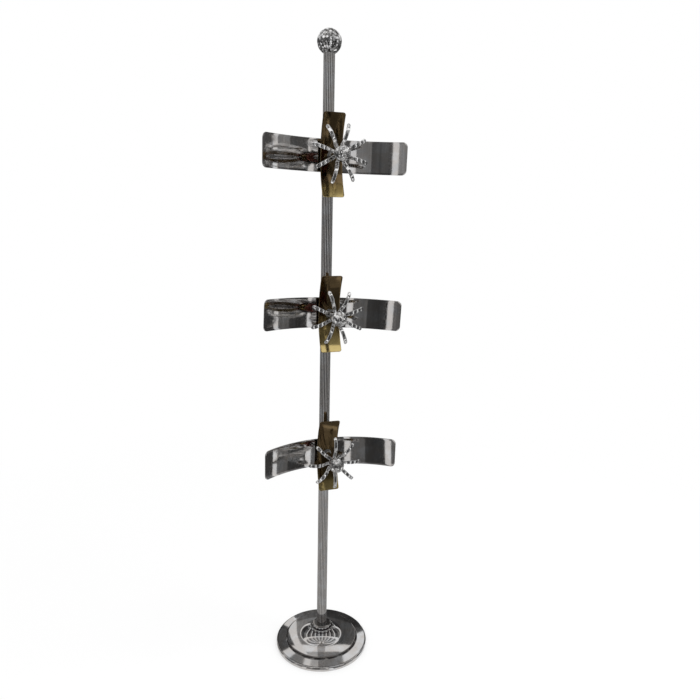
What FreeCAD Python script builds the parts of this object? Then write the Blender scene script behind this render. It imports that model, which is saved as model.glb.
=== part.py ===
"""Free-standing display stand: one chrome pole on a weighted spun base, with three hanging stations.

Each station is a curved chrome strap across the pole, a curved brass strap upright over it, and a star of eight
arched fingers that turns on the station's stud between the straps and a ball knob.

Frame: +Z up, origin on the floor on the pole's axis, stations facing -Y. Millimetres.
"Reach" is a distance in front of the pole's axis, so a reach r lies at y = -r.
"""
import FreeCAD, Part
import math
import os
import Sketcher

Vector = FreeCAD.Vector
Rotation = FreeCAD.Rotation

STATIONS = ("upper", "middle", "lower")
FORWARD = Rotation(Vector(1, 0, 0), 90)     # turns a piece's own +Z to the front, -Y
BACKWARD = Rotation(Vector(1, 0, 0), -90)   # turns a piece's own +Z to the back, +Y
SIDEWAYS = Rotation(Vector(0, 1, 0), 90)    # turns a piece's own +Z to +X
FRONT_AXIS = Vector(0, -1, 0)

# ---------------------------------------------------------------------------------------------- driving dimensions
SIZES = {
    # pole and finial
    "pole_radius": 12.7,
    "pole_wall": 1.5,
    "finial_height": 1483.0,
    "finial_radius": 26.8,
    "plug_length": 30.0,
    "finial_stud_depth": 18.0,
    # base
    "pad_thickness": 2.0,
    "pad_inset": 9.1,
    "rim_radius": 119.1,
    "rim_lift": 0.8,
    "rim_round": 3.5,
    "rim_height": 11.0,
    "cover_wall": 1.2,
    "step_radius": 93.4,
    "step_lean": 1.0,
    "step_foot_height": 14.6,
    "step_height": 20.0,
    "step_round": 4.0,
    "bell_radius": 60.0,
    "bell_foot_height": 23.6,
    "crown_radius": 28.0,
    "crown_height": 42.0,
    "weight_gap": 6.0,
    "weight_under_gap": 0.8,
    "weight_hub_radius": 21.0,
    "recess_radius": 15.0,
    "recess_depth": 10.0,
    "bolt_radius": 5.0,
    "bolt_depth": 22.0,
    "bolt_head_flats": 17.0,
    "bolt_head_height": 6.4,
    "bolt_washer_radius": 13.0,
    "bolt_washer_thickness": 2.0,
    # collar round the foot of the pole
    "collar_radius": 27.5,
    "collar_height": 7.0,
    "collar_neck_radius": 23.0,
    "collar_neck_height": 5.0,
    # how far each station is below the finial or the station above, and how its star and cross strap are set
    "upper_drop": 238.0,
    "middle_drop": 351.0,
    "lower_drop": 347.0,
    "upper_clock": 28.5,
    "middle_clock": 19.0,
    "lower_clock": 45.0,
    "upper_droop": 1.0,
    "middle_droop": 2.2,
    "lower_droop": 0.5,
    # stud, saddles and nuts
    "stud_radius": 4.0,
    "stud_grip": 6.0,
    "nut_flats": 13.0,
    "nut_height": 6.5,
    "nut_dome_radius": 6.0,
    "saddle_radius": 15.0,
    "saddle_thickness": 3.5,
    "rear_washer_radius": 9.0,
    "rear_washer_thickness": 3.6,
    "spacer_radius": 13.0,
    "spacer_thickness": 6.6,
    "clamp_washer_radius": 10.0,
    "clamp_washer_thickness": 2.2,
    # chrome strap across the pole
    "cross_length": 348.0,
    "cross_width": 71.0,
    "cross_thickness": 2.0,
    "cross_bend": 264.0,
    "cross_corner": 11.0,
    # brass strap upright over it
    "upright_length": 185.0,
    "upright_width": 50.4,
    "upright_thickness": 2.0,
    "upright_bend": 179.0,
    "upright_corner": 5.5,
    # sleeve, turning star and ball knob
    "sleeve_radius": 6.5,
    "sleeve_length": 44.2,
    "thrust_washer_radius": 10.0,
    "thrust_washer_thickness": 1.2,
    "bush_boss_radius": 8.5,
    "bush_boss_length": 6.0,
    "bush_barrel_radius": 6.0,
    "bush_lip": 0.6,
    "finger_count": 8,
    "finger_width": 8.0,
    "finger_thickness": 1.8,
    "finger_reach": 63.5,
    "finger_bend": 16.0,
    "finger_rise": 42.0,
    "finger_fall": 42.0,
    "finger_hole_radius": 1.6,
    "finger_hole_inset": 5.5,
    "hub_radius": 13.0,
    "knob_washer_radius": 9.0,
    "knob_washer_thickness": 0.8,
    "knob_radius": 17.5,
    "knob_seat_radius": 8.0,
    # clearances
    "slip_gap": 0.15,
    "running_gap": 0.05,
    "turn_gap": 0.15,
}

# ----------------------------------------------------------------------------------------- places worked out from them
PLACES = {
    "upper_height": "dim.finial_height - dim.upper_drop",
    "middle_height": "at.upper_height - dim.middle_drop",
    "lower_height": "at.middle_height - dim.lower_drop",
    "pole_foot": "dim.crown_height - dim.cover_wall",
    "pole_top": "dim.finial_height - sqrt(dim.finial_radius^2 - dim.pole_radius^2)",
    "pole_bore": "dim.pole_radius - dim.pole_wall",
    "pole_hole": "dim.pole_radius + dim.slip_gap",
    "stud_hole": "dim.stud_radius + dim.slip_gap",
    "recess_top": "dim.pad_thickness + dim.recess_depth",
    "pad_radius": "dim.rim_radius - dim.pad_inset",
    "rim_shoulder": "dim.rim_radius - dim.rim_round",
    "step_foot": "dim.step_radius + dim.step_lean",
    "collar_bead": "dim.collar_height * 18 / 35",
    "collar_neck_bead": "dim.collar_neck_height * 13 / 25",
    "nut_corner": "dim.nut_flats / 2 / cos(30 deg)",
    # reaches of the station's faces, from the pole to the knob
    "cross_rear": "dim.pole_radius + dim.saddle_thickness",
    "cross_front": "at.cross_rear + dim.cross_thickness",
    "cross_centre": "at.cross_rear + dim.cross_thickness / 2 + dim.cross_bend",
    "upright_rear": "at.cross_front + dim.spacer_thickness",
    "upright_front": "at.upright_rear + dim.upright_thickness",
    "upright_centre": "at.upright_rear + dim.upright_thickness / 2 + dim.upright_bend",
    "clamp_nut_rear": "at.upright_front + dim.clamp_washer_thickness",
    "sleeve_rear": "at.clamp_nut_rear + dim.nut_height",
    "thrust_rear": "at.sleeve_rear + dim.sleeve_length",
    "bush_rear": "at.thrust_rear + dim.thrust_washer_thickness + dim.turn_gap",
    "hub_rear": "at.bush_rear + dim.bush_boss_length",
    "bush_front": "at.hub_rear + dim.finger_thickness + dim.bush_lip",
    "knob_washer_rear": "at.bush_front + dim.turn_gap",
    "knob_seat": "at.knob_washer_rear + dim.knob_washer_thickness",
    "knob_centre": "at.knob_seat + sqrt(dim.knob_radius^2 - dim.knob_seat_radius^2)",
    "stud_front": "at.knob_centre + dim.stud_grip",
    "rear_nut_seat": "dim.pole_radius + dim.rear_washer_thickness",
    "stud_rear": "at.rear_nut_seat + dim.nut_height + dim.slip_gap",
    # bent straps and arched fingers
    "cross_angle": "dim.cross_length / dim.cross_bend / 2 * 180 / pi * 1 deg",
    "upright_angle": "dim.upright_length / dim.upright_bend / 2 * 180 / pi * 1 deg",
    "rise": "dim.finger_rise * 1 deg",
    "fall": "dim.finger_fall * 1 deg",
    "bend_centre": "dim.finger_thickness / 2 + dim.finger_bend",
    "arch": "(dim.finger_reach - dim.hub_radius - dim.finger_bend * sin(at.rise)) / (sin(at.rise) + sin(at.fall))",
    "arch_centre_out": "dim.hub_radius + (dim.finger_bend + at.arch) * sin(at.rise)",
    "arch_centre_reach": "at.bend_centre - (dim.finger_bend + at.arch) * cos(at.rise)",
}

doc = FreeCAD.newDocument("display_stand")


def fill_sheet(name, cells, sign=""):
    """Make a spreadsheet whose aliases are the keys of cells."""
    sheet = doc.addObject("Spreadsheet::Sheet", name)
    for row, (alias, content) in enumerate(cells.items(), start=1):
        sheet.set(f"A{row}", alias.replace("_", " "))
        sheet.set(f"B{row}", f"{sign}{content}")
        sheet.setAlias(f"B{row}", alias)
    doc.recompute()
    return sheet


dim = fill_sheet("dim", SIZES)
at = fill_sheet("at", {name: formula.replace("at.", "") for name, formula in PLACES.items()}, sign="=")


def value(formula):
    """The number that a formula over the two sheets gives."""
    result = dim.evalExpression(formula)
    return float(getattr(result, "Value", result))


# -------------------------------------------------------------------------------------------------- sketch helpers
def new_body(name, height=None):
    body = doc.addObject("PartDesign::Body", name)
    body.Label = name
    if height:
        body.setExpression("Placement.Base.z", height)
    return body


def new_sketch(body, name, role, offset=None):
    """A sketch on one of the body's own origin planes, moved along the plane's normal by a formula."""
    sketch = body.newObject("Sketcher::SketchObject", name)
    origin_plane = next(item for item in body.Origin.OriginFeatures if item.Role == role)
    sketch.AttachmentSupport = [(origin_plane, "")]
    sketch.MapMode = "FlatFace"
    if offset:
        sketch.setExpression("AttachmentOffset.Base.z", offset)
    return sketch


def hold(sketch, edge, end, x, y):
    """Hold one point of a sketch at the two formulas, measured from the sketch's origin.

    In a constraint, (-1, 1) is the origin, -1 the horizontal axis and -2 the vertical one.
    """
    for kind, formula, axis in (("DistanceX", x, -2), ("DistanceY", y, -1)):
        if formula == "0":
            sketch.addConstraint(Sketcher.Constraint("PointOnObject", edge, end, axis))
        else:
            index = sketch.addConstraint(Sketcher.Constraint(kind, -1, 1, edge, end, value(formula)))
            sketch.setExpression(f"Constraints[{index}]", formula)


def hold_radius(sketch, edge, formula):
    index = sketch.addConstraint(Sketcher.Constraint("Radius", edge, value(formula)))
    sketch.setExpression(f"Constraints[{index}]", formula)


def arc_between(start, end, radius, turn):
    """The shorter arc from start to end, anticlockwise for turn 1 and clockwise for turn -1."""
    chord = end - start
    left = Vector(-chord.y, chord.x, 0).normalize()
    depth = math.sqrt(max(radius ** 2 - chord.Length ** 2 / 4, 0))
    centre = (start + end) / 2 + left * depth * turn
    first, last = (start, end) if turn > 0 else (end, start)
    from_angle = math.atan2(first.y - centre.y, first.x - centre.x)
    to_angle = math.atan2(last.y - centre.y, last.x - centre.x)
    if to_angle < from_angle:
        to_angle += 2 * math.pi
    return Part.ArcOfCircle(Part.Circle(centre, Vector(0, 0, 1), radius), from_angle, to_angle)


def draw_outline(sketch, corners):
    """A closed outline. A corner is (x, y), or (x, y, radius, turn) where an arc arrives at it."""
    spots = [Vector(value(corner[0]), value(corner[1]), 0) for corner in corners]
    joints = []
    for index, corner in enumerate(corners):
        start, end = spots[index - 1], spots[index]
        if len(corner) == 2:
            edge = sketch.addGeometry(Part.LineSegment(start, end))
            joints.append((edge, 1, 2))
            continue
        radius, turn = corner[2:]
        edge = sketch.addGeometry(arc_between(start, end, value(radius), turn))
        hold_radius(sketch, edge, radius)
        joints.append((edge, 1, 2) if turn > 0 else (edge, 2, 1))
    for index, (edge, _, end) in enumerate(joints):
        following, start, _ = joints[(index + 1) % len(joints)]
        sketch.addConstraint(Sketcher.Constraint("Coincident", edge, end, following, start))
        hold(sketch, edge, end, *corners[index][:2])


def draw_circle(sketch, radius, x="0", y="0"):
    spot = Vector(value(x), value(y), 0)
    edge = sketch.addGeometry(Part.Circle(spot, Vector(0, 0, 1), value(radius)))
    hold_radius(sketch, edge, radius)
    if x == "0" and y == "0":
        sketch.addConstraint(Sketcher.Constraint("Coincident", edge, 3, -1, 1))
    else:
        hold(sketch, edge, 3, x, y)


# ------------------------------------------------------------------------------------------------- feature helpers
def revolve(body, name, corners, role="XZ_Plane"):
    """Turn an outline once round the sketch's vertical axis."""
    sketch = new_sketch(body, f"{name}_outline", role)
    draw_outline(sketch, corners)
    feature = body.newObject("PartDesign::Revolution", name)
    feature.Profile = sketch
    feature.ReferenceAxis = (sketch, ["V_Axis"])
    feature.Angle = 360
    return feature


def pad(body, name, sketch, length, both_ways=False):
    feature = body.newObject("PartDesign::Pad", name)
    feature.Profile = sketch
    feature.SideType = "Symmetric" if both_ways else "One side"
    feature.setExpression("Length", length)
    return feature


def cut_through(body, name, sketch):
    """Cut a sketch through the whole body, both ways, and make sure that it took something away."""
    doc.recompute()
    before = body.Shape.Volume
    feature = body.newObject("PartDesign::Pocket", name)
    feature.Profile = sketch
    feature.SideType = "Symmetric"
    feature.Type = "ThroughAll"
    doc.recompute()
    if not body.Shape.Volume < before:
        raise RuntimeError(f"{name} cuts nothing")
    return feature


def round_corners(body, name, radius, length, is_corner):
    """Round the body's straight edges of one length that is_corner picks."""
    doc.recompute()
    tip = body.Tip
    wanted = []
    for number, edge in enumerate(tip.Shape.Edges, start=1):
        if edge.Curve.TypeId == "Part::GeomLine" and abs(edge.Length - value(length)) < 0.01 and is_corner(edge):
            wanted.append(f"Edge{number}")
    feature = body.newObject("PartDesign::Fillet", name)
    feature.Base = (tip, wanted)
    feature.setExpression("Radius", radius)
    return feature


def place(item, x=None, y=None, z=None, turned=None):
    if turned:
        item.Placement = FreeCAD.Placement(Vector(), turned)
    for axis, formula in (("x", x), ("y", y), ("z", z)):
        if formula:
            item.setExpression(f"Placement.Base.{axis}", formula)
    return item


def cylinder(name, radius, length, **where):
    item = doc.addObject("Part::Cylinder", name)
    item.setExpression("Radius", radius)
    item.setExpression("Height", length)
    return place(item, **where)


def hexagon(name, corner, length, **where):
    item = doc.addObject("Part::Prism", name)
    item.Polygon = 6
    item.setExpression("Circumradius", corner)
    item.setExpression("Height", length)
    return place(item, **where)


def combine(kind, name, base, tools):
    """Cut the tools from the base, keep what base and tool share, or fuse them."""
    if kind == "Part::MultiFuse":
        item = doc.addObject(kind, name)
        item.Shapes = [base] + tools
        return item
    tool = tools[0] if len(tools) == 1 else combine("Part::MultiFuse", f"{name}_tools", tools[0], tools[1:])
    item = doc.addObject(kind, name)
    item.Base = base
    item.Tool = tool
    return item


def cut(name, base, *tools):
    return combine("Part::Cut", name, base, list(tools))


def common(name, base, tool):
    return combine("Part::Common", name, base, [tool])


def fuse(name, base, *tools):
    return combine("Part::MultiFuse", name, base, list(tools))


nodes = {}


def keep(item, name=None):
    """Name a finished piece as a node of the stand."""
    item.Label = name or item.Name
    nodes[item.Label] = item
    return item


def keep_set(name, items):
    """Name one node that holds the same small piece of every station."""
    group = doc.addObject("Part::Compound", name)
    group.Links = items
    return keep(group, name)


# --------------------------------------------------------------------------------------------------------- base
def make_base_pad():
    """Felt disc glued under the base: what the stand rests on."""
    keep(cylinder("base_pad", "at.pad_radius", "dim.pad_thickness"))


def make_base_weight():
    """Cast iron disc that fills the cover, with a hub that carries the pole and a recess for the bolt."""
    body = new_body("base_weight")
    outer = "dim.rim_radius - dim.cover_wall - dim.weight_gap"
    inner = "dim.step_radius - dim.step_round - dim.weight_under_gap"
    low = "dim.rim_height - dim.cover_wall - dim.weight_under_gap"
    high = "dim.step_height - dim.cover_wall - dim.weight_under_gap"
    revolve(body, "weight_turning", [
        ("dim.recess_radius", "dim.pad_thickness"),
        (outer, "dim.pad_thickness"),
        (outer, low),
        (inner, low),
        (inner, high),
        ("dim.weight_hub_radius", high),
        ("dim.weight_hub_radius", "at.pole_foot"),
        ("dim.bolt_radius + dim.slip_gap", "at.pole_foot"),
        ("dim.bolt_radius + dim.slip_gap", "at.recess_top"),
        ("dim.recess_radius", "at.recess_top"),
    ])
    keep(body)


def make_base_cover():
    """Spun sheet cover: rolled rim, shallow cone, rounded step, rising disc and a bell up to the crown."""
    body = new_body("base_cover")
    wall = "dim.cover_wall"
    bell = ("((dim.bell_radius - dim.crown_radius)^2 + (dim.crown_height - dim.bell_foot_height)^2)"
            " / 2 / (dim.crown_height - dim.bell_foot_height)")
    revolve(body, "cover_spinning", [
        ("dim.rim_radius", "dim.rim_lift"),
        ("dim.rim_radius", "dim.rim_height - dim.rim_round"),
        ("at.rim_shoulder", "dim.rim_height", "dim.rim_round", 1),
        ("at.step_foot", "dim.step_foot_height"),
        ("dim.step_radius", "dim.step_height - dim.step_round"),
        ("dim.step_radius - dim.step_round", "dim.step_height", "dim.step_round", 1),
        ("dim.bell_radius", "dim.bell_foot_height"),
        ("dim.crown_radius", "dim.crown_height", bell, -1),
        ("at.pole_hole", "dim.crown_height"),
        ("at.pole_hole", f"dim.crown_height - {wall}"),
        (f"dim.crown_radius - {wall}", f"dim.crown_height - {wall}"),
        ("dim.bell_radius", f"dim.bell_foot_height - {wall}", f"{bell} + {wall}", 1),
        ("dim.step_radius - dim.step_round", f"dim.step_height - {wall}"),
        (f"dim.step_radius - {wall}", "dim.step_height - dim.step_round"),
        (f"at.step_foot - {wall}", f"dim.step_foot_height - {wall}"),
        ("at.rim_shoulder", f"dim.rim_height - {wall}"),
        (f"dim.rim_radius - {wall}", "dim.rim_height - dim.rim_round"),
        (f"dim.rim_radius - {wall}", "dim.rim_lift"),
    ])
    keep(body)


def make_base_collar():
    """Turned collar with two round beads, seated on the cover's crown round the pole."""
    body = new_body("base_collar")
    bottom = "dim.crown_height"
    middle = "dim.crown_height + dim.collar_height"
    top = "dim.crown_height + dim.collar_height + dim.collar_neck_height"
    revolve(body, "collar_turning", [
        ("at.pole_hole", bottom),
        ("dim.collar_radius", bottom),
        ("dim.collar_radius", middle, "at.collar_bead", 1),
        ("dim.collar_neck_radius", middle),
        ("dim.collar_neck_radius", top, "at.collar_neck_bead", 1),
        ("at.pole_hole", top),
    ])
    keep(body)


def make_base_bolt():
    """Hexagon bolt up through the weight into the pole's foot plug, with its washer."""
    seat = "at.recess_top - dim.bolt_washer_thickness"
    washer = cylinder("washer_disc", "dim.bolt_washer_radius", "dim.bolt_washer_thickness", z=seat)
    hole = cylinder("washer_hole", "dim.bolt_radius", "dim.bolt_washer_thickness", z=seat)
    keep(cut("base_washer", washer, hole))
    head = hexagon("bolt_head", "dim.bolt_head_flats / 2 / cos(30 deg)", "dim.bolt_head_height",
                   z=f"{seat} - dim.bolt_head_height")
    shank = cylinder("bolt_shank", "dim.bolt_radius", f"at.pole_foot + dim.bolt_depth - ({seat})", z=seat)
    keep(fuse("base_bolt", head, shank))


# --------------------------------------------------------------------------------------------------------- pole
def make_pole():
    """Chromed tube, drilled from front to back for the three studs."""
    body = new_body("pole")
    section = new_sketch(body, "pole_section", "XY_Plane", offset="at.pole_foot")
    draw_circle(section, "dim.pole_radius")
    draw_circle(section, "at.pole_bore")
    pad(body, "pole_tube", section, "at.pole_top - at.pole_foot")
    holes = new_sketch(body, "pole_hole_places", "XZ_Plane")
    for station in STATIONS:
        draw_circle(holes, "at.stud_hole", y=f"at.{station}_height")
    cut_through(body, "pole_holes", holes)
    keep(body)


def make_pole_plugs():
    """Plugs pressed into the ends of the tube: the foot takes the base bolt, the top takes the finial's stud."""
    foot = cylinder("foot_plug_blank", "at.pole_bore", "dim.plug_length", z="at.pole_foot")
    foot_bore = cylinder("foot_plug_bore", "dim.bolt_radius", "dim.bolt_depth", z="at.pole_foot")
    keep(cut("pole_foot_plug", foot, foot_bore))
    top = cylinder("top_plug_blank", "at.pole_bore", "dim.plug_length", z="at.pole_top - dim.plug_length")
    top_bore = cylinder("top_plug_bore", "dim.stud_radius", "dim.finial_stud_depth",
                        z="at.pole_top - dim.finial_stud_depth")
    keep(cut("pole_top_plug", top, top_bore))


def make_finial():
    """Ball with a flat seat on the tube's end and a blind bore for its stud."""
    keep(cylinder("finial_stud", "dim.stud_radius", "2 * dim.finial_stud_depth",
                  z="at.pole_top - dim.finial_stud_depth"))
    body = new_body("finial_ball")
    bore_top = "at.pole_top + dim.finial_stud_depth"
    revolve(body, "finial_turning", [
        ("dim.stud_radius", "at.pole_top"),
        ("dim.pole_radius", "at.pole_top"),
        ("dim.finial_radius", "dim.finial_height", "dim.finial_radius", 1),
        ("0", "dim.finial_height + dim.finial_radius", "dim.finial_radius", 1),
        ("0", bore_top),
        ("dim.stud_radius", bore_top),
    ])
    keep(body)


# ------------------------------------------------------------------------------------------------------ station
def height(station):
    return f"at.{station}_height"


def along_stud(name, station, radius, rear, length):
    """A disc or rod on the station's stud, from the reach of its rear face towards the front."""
    return cylinder(name, radius, length, y=f"-({rear})", z=height(station), turned=FORWARD)


def cross_form(name, station, radius):
    """Upright cylinder on the cross strap's bend axis, drooping with the strap, as a tool for what seats on it."""
    form_length = "4 * dim.saddle_radius"
    droop = f"dim.{station}_droop * 1 deg"
    return cylinder(
        name, radius, form_length, turned=Rotation(Vector(0, 1, 0), value(f"dim.{station}_droop")),
        x=f"-({form_length}) / 2 * sin({droop})", y="-at.cross_centre",
        z=f"{height(station)} - ({form_length}) / 2 * cos({droop})")


def upright_form(name, station, radius):
    """Level cylinder on the upright strap's bend axis, as a tool for what seats on that strap."""
    return cylinder(name, radius, "4 * dim.saddle_radius", turned=SIDEWAYS,
                    x="-2 * dim.saddle_radius", y="-at.upright_centre", z=height(station))


def make_cross_strap(station):
    """Wide chromed strap, rolled to one bend with its ends forward, corners rounded, one hole for the stud."""
    body = new_body(f"{station}_cross_strap")
    outer = "(dim.cross_bend + dim.cross_thickness / 2)"
    inner = "(dim.cross_bend - dim.cross_thickness / 2)"
    plan = new_sketch(body, f"{station}_cross_plan", "XY_Plane")
    draw_outline(plan, [
        (f"-{outer} * sin(at.cross_angle)", f"{outer} * cos(at.cross_angle) - at.cross_centre"),
        (f"{outer} * sin(at.cross_angle)", f"{outer} * cos(at.cross_angle) - at.cross_centre", outer, -1),
        (f"{inner} * sin(at.cross_angle)", f"{inner} * cos(at.cross_angle) - at.cross_centre"),
        (f"-{inner} * sin(at.cross_angle)", f"{inner} * cos(at.cross_angle) - at.cross_centre", inner, 1),
    ])
    pad(body, f"{station}_cross_sheet", plan, "dim.cross_width", both_ways=True)
    round_corners(body, f"{station}_cross_corners", "dim.cross_corner", "dim.cross_thickness", lambda edge: True)
    hole = new_sketch(body, f"{station}_cross_hole_place", "XZ_Plane")
    draw_circle(hole, "at.stud_hole")
    cut_through(body, f"{station}_cross_hole", hole)
    body.Placement = FreeCAD.Placement(Vector(), Rotation(Vector(0, 1, 0), value(f"dim.{station}_droop")))
    body.setExpression("Placement.Rotation.Angle", f"dim.{station}_droop")
    keep(place(body, z=height(station)))


def make_upright_strap(station):
    """Narrower brass strap, rolled with its ends forward, set upright over the cross strap."""
    body = new_body(f"{station}_upright_strap")
    outer = "(dim.upright_bend + dim.upright_thickness / 2)"
    inner = "(dim.upright_bend - dim.upright_thickness / 2)"
    side = new_sketch(body, f"{station}_upright_side", "YZ_Plane")
    draw_outline(side, [
        (f"{outer} * cos(at.upright_angle) - at.upright_centre", f"-{outer} * sin(at.upright_angle)"),
        (f"{outer} * cos(at.upright_angle) - at.upright_centre", f"{outer} * sin(at.upright_angle)", outer, 1),
        (f"{inner} * cos(at.upright_angle) - at.upright_centre", f"{inner} * sin(at.upright_angle)"),
        (f"{inner} * cos(at.upright_angle) - at.upright_centre", f"-{inner} * sin(at.upright_angle)", inner, -1),
    ])
    pad(body, f"{station}_upright_sheet", side, "dim.upright_width", both_ways=True)
    round_corners(body, f"{station}_upright_corners", "dim.upright_corner", "dim.upright_thickness",
                  lambda edge: True)
    hole = new_sketch(body, f"{station}_upright_hole_place", "XZ_Plane")
    draw_circle(hole, "at.stud_hole")
    cut_through(body, f"{station}_upright_hole", hole)
    keep(place(body, z=height(station)))


def make_finger_star(station):
    """One pressing: a flat hub and eight fingers that arch forward and back, each with a round end and a hole."""
    body = new_body(f"{station}_finger_star")
    hub = new_sketch(body, f"{station}_hub_section", "XZ_Plane")
    draw_circle(hub, "dim.hub_radius")
    draw_circle(hub, "dim.bush_barrel_radius")
    pad(body, f"{station}_hub", hub, "dim.finger_thickness")
    inner, outer = "(at.arch - dim.finger_thickness / 2)", "(at.arch + dim.finger_thickness / 2)"
    tight, wide = "(dim.finger_bend - dim.finger_thickness / 2)", "(dim.finger_bend + dim.finger_thickness / 2)"
    root = "(dim.bush_barrel_radius + dim.hub_radius) / 2"
    side = new_sketch(body, f"{station}_finger_side", "XY_Plane")
    draw_outline(side, [
        (root, "0"),
        ("dim.hub_radius", "0"),
        (f"dim.hub_radius + {wide} * sin(at.rise)", f"{wide} * cos(at.rise) - at.bend_centre", wide, -1),
        (f"at.arch_centre_out + {inner} * sin(at.fall)", f"-at.arch_centre_reach - {inner} * cos(at.fall)", inner, 1),
        (f"at.arch_centre_out + {outer} * sin(at.fall)", f"-at.arch_centre_reach - {outer} * cos(at.fall)"),
        (f"dim.hub_radius + {tight} * sin(at.rise)", f"{tight} * cos(at.rise) - at.bend_centre", outer, -1),
        ("dim.hub_radius", "-dim.finger_thickness", tight, 1),
        (root, "-dim.finger_thickness"),
    ])
    finger = pad(body, f"{station}_finger", side, "dim.finger_width", both_ways=True)
    end_centre = "dim.finger_reach - dim.finger_width / 2"
    beyond, clear = "dim.finger_reach + dim.finger_thickness", "dim.finger_width"
    end = new_sketch(body, f"{station}_finger_end_outline", "XZ_Plane")
    draw_outline(end, [
        (end_centre, "-dim.finger_width / 2", "dim.finger_width / 2", -1),
        (end_centre, f"-{clear}"),
        (beyond, f"-{clear}"),
        (beyond, clear),
        (end_centre, clear),
        (end_centre, "dim.finger_width / 2"),
        ("dim.finger_reach", "0", "dim.finger_width / 2", -1),
    ])
    rounded_end = cut_through(body, f"{station}_finger_end", end)
    hole = new_sketch(body, f"{station}_finger_hole_place", "XZ_Plane")
    draw_circle(hole, "dim.finger_hole_radius", x="dim.finger_reach - dim.finger_hole_inset")
    finger_hole = cut_through(body, f"{station}_finger_hole", hole)
    pattern = body.newObject("PartDesign::PolarPattern", f"{station}_fingers")
    pattern.Originals = [finger, rounded_end, finger_hole]
    pattern.Axis = (hub, ["N_Axis"])
    pattern.Angle = 360
    pattern.setExpression("Occurrences", "dim.finger_count")
    body.Tip = pattern
    body.Placement = FreeCAD.Placement(Vector(), Rotation(FRONT_AXIS, value(f"dim.{station}_clock")))
    body.setExpression("Placement.Rotation.Angle", f"dim.{station}_clock")
    keep(place(body, y="-at.hub_rear", z=height(station)))


def make_star_bush(station):
    """Flanged brass bush pressed into the star's hub; the stud runs through it."""
    boss = along_stud(f"{station}_bush_boss", station, "dim.bush_boss_radius", "at.bush_rear", "dim.bush_boss_length")
    barrel = along_stud(f"{station}_bush_barrel", station, "dim.bush_barrel_radius", "at.hub_rear",
                        "at.bush_front - at.hub_rear")
    bore = along_stud(f"{station}_bush_bore", station, "dim.stud_radius + dim.running_gap", "at.bush_rear",
                      "at.bush_front - at.bush_rear")
    blank = fuse(f"{station}_bush_blank", boss, barrel)
    keep(cut(f"{station}_star_bush", blank, bore))


def make_ball_knob(station):
    """Chromed ball with a flat seat and a blind bore that closes the front end of the stud."""
    body = new_body(f"{station}_ball_knob")
    revolve(body, f"{station}_knob_turning", [
        ("dim.stud_radius", "-at.knob_seat"),
        ("dim.stud_radius", "-at.stud_front"),
        ("0", "-at.stud_front"),
        ("0", "-at.knob_centre - dim.knob_radius"),
        ("dim.knob_radius", "-at.knob_centre", "dim.knob_radius", 1),
        ("dim.knob_seat_radius", "-at.knob_seat", "dim.knob_radius", 1),
    ], role="XY_Plane")
    keep(place(body, z=height(station)))


def make_stud_and_sleeve(station):
    """Threaded stud through the whole station, and the chromed sleeve that stands the star off the straps."""
    keep(along_stud(f"{station}_stud", station, "dim.stud_radius", "-at.stud_rear", "at.stud_rear + at.stud_front"))
    tube = along_stud(f"{station}_sleeve_tube", station, "dim.sleeve_radius", "at.sleeve_rear", "dim.sleeve_length")
    bore = along_stud(f"{station}_sleeve_bore", station, "at.stud_hole", "at.sleeve_rear", "dim.sleeve_length")
    keep(cut(f"{station}_sleeve", tube, bore))


# ------------------------------------------------------------------------ small pieces, the same at every station
def pole_form(name, station):
    """Short length of the pole's outside, as a tool for what seats on it."""
    return cylinder(name, "dim.pole_radius", "4 * dim.saddle_radius",
                    z=f"{height(station)} - 2 * dim.saddle_radius")


def stud_bore(name, station, rear, length, radius="at.stud_hole"):
    return along_stud(f"{name}_bore", station, radius, rear, length)


def pole_saddle(station):
    """Turned seat between the pole and the cross strap, hollowed to the pole and to the strap's back."""
    name = f"{station}_saddle"
    disc = along_stud(f"{name}_disc", station, "dim.saddle_radius", "0", "at.cross_front")
    strap_side = cross_form(f"{name}_strap_side", station, "dim.cross_bend + dim.cross_thickness / 2")
    return cut(name, disc, pole_form(f"{name}_pole_side", station), strap_side,
               stud_bore(name, station, "0", "at.cross_front"))


def rear_saddle_washer(station):
    """Washer hollowed to the back of the pole, flat under the dome nut."""
    name = f"{station}_rear_washer"
    disc = along_stud(f"{name}_disc", station, "dim.rear_washer_radius", "-at.rear_nut_seat", "at.rear_nut_seat")
    return cut(name, disc, pole_form(f"{name}_pole_side", station),
               stud_bore(name, station, "-at.rear_nut_seat", "at.rear_nut_seat"))


def dome_nut(station):
    """Closed hexagon nut on the back end of the stud."""
    name = f"{station}_dome_nut"
    seat = "at.rear_nut_seat"
    where = {"z": height(station), "turned": BACKWARD}
    flats = hexagon(f"{name}_flats", "at.nut_corner", "dim.nut_height", y=seat, **where)
    dome = doc.addObject("Part::Sphere", f"{name}_dome")
    dome.Angle1 = 0
    dome.setExpression("Radius", "dim.nut_dome_radius")
    place(dome, y=f"{seat} + dim.nut_height", **where)
    bore = cylinder(f"{name}_bore", "dim.stud_radius", "dim.nut_height + dim.slip_gap", y=seat, **where)
    return cut(name, fuse(f"{name}_blank", flats, dome), bore)


def strap_spacer(station):
    """Turned distance piece between the two straps, shaped to both."""
    name = f"{station}_spacer"
    disc = along_stud(f"{name}_disc", station, "dim.spacer_radius", "at.cross_rear", "at.upright_front - at.cross_rear")
    cross_side = cross_form(f"{name}_cross_side", station, "dim.cross_bend - dim.cross_thickness / 2")
    upright_side = upright_form(f"{name}_upright_side", station, "dim.upright_bend + dim.upright_thickness / 2")
    return cut(name, common(f"{name}_blank", disc, cross_side), upright_side,
               stud_bore(name, station, "at.cross_rear", "at.upright_front - at.cross_rear"))


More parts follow.
